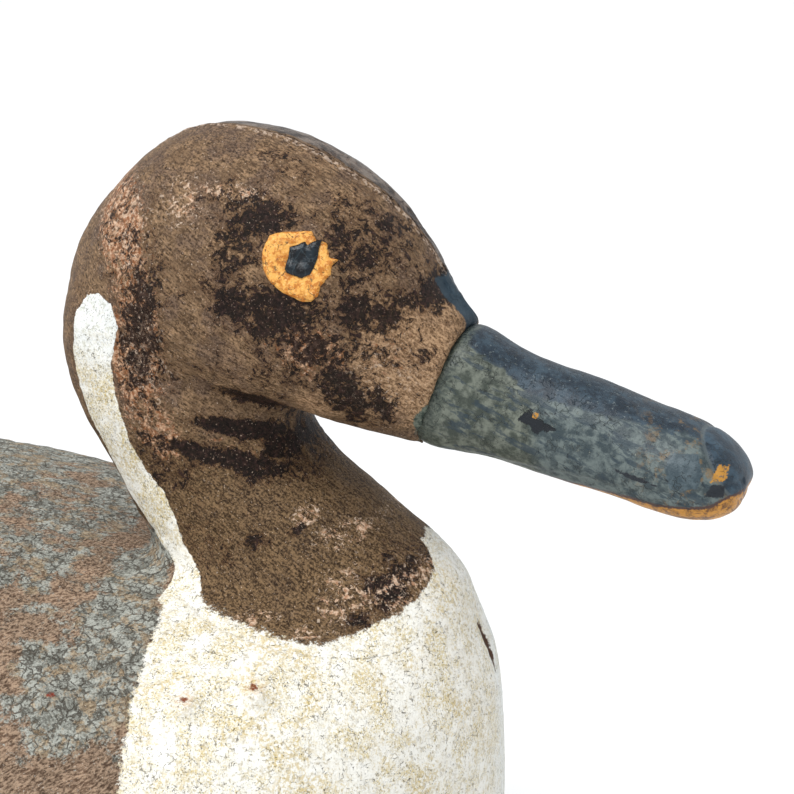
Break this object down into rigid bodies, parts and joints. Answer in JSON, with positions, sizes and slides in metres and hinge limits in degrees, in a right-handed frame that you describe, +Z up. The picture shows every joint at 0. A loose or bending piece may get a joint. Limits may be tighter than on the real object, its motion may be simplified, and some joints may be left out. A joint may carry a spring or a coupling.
{
  "type": "floating duck decoy",
  "caption": "Floating pintail drake decoy with a hollow split hull, set-in head and bill, spiked tail, weighted keel and a swinging ring for an anchor line.",
  "frame": {"origin": "on the surface that the keel stands on, under the middle of the bird's overall length and width", "axes": "+X forward along the bird to the bill, +Y to the bird's left, +Z up"},
  "size_m": [0.4217, 0.1664, 0.2065],
  "materials": {
    "hull_paint": "worn, crackled oil paint over carved wood",
    "hull_bottom_paint": "worn oil paint over carved wood",
    "caulk": "dull hardened paint putty",
    "nail_steel": "rusted",
    "bare_wood": "unpainted hardwood",
    "screw_steel": "dull, lightly rusted",
    "head_paint": "worn, flaking brown oil paint over carved wood",
    "bill_paint": "worn slate-blue oil paint over carved wood",
    "eye_black": "worn black paint on a tack",
    "tail_paint": "worn black oil paint over hardwood",
    "keel_wood": "weathered paint and wood",
    "lead": "dull grey, oxidised",
    "wire_steel": "dull galvanised wire"
  },
  "bodies": {
    "decoy": {"body_upper": "hull_paint", "body_lower": "hull_bottom_paint", "seam_caulk": "caulk", "seam_nails": "nail_steel", "neck_dowel": "bare_wood", "neck_screw": "screw_steel", "neck_washer": "screw_steel", "head_left": "head_paint", "head_right": "head_paint", "bill": "bill_paint", "bill_pin": "bare_wood", "eye_tack_left": "eye_black", "eye_tack_right": "eye_black", "tail_sprig": "tail_paint", "tail_peg": "bare_wood", "keel": "keel_wood", "keel_screws": "screw_steel", "ballast_weight": "lead", "ballast_screws": "screw_steel", "line_eye": "wire_steel"},
    "line_ring": {"line_ring": "wire_steel"}
  },
  "joints": [
    {"name": "line_ring_swing", "type": "hinge", "parent": "decoy", "child": "line_ring", "pos_m": [0.12, 0, 0.01954], "axis": [0, 1, 0], "range_deg": [-80, 80]}
  ]
}
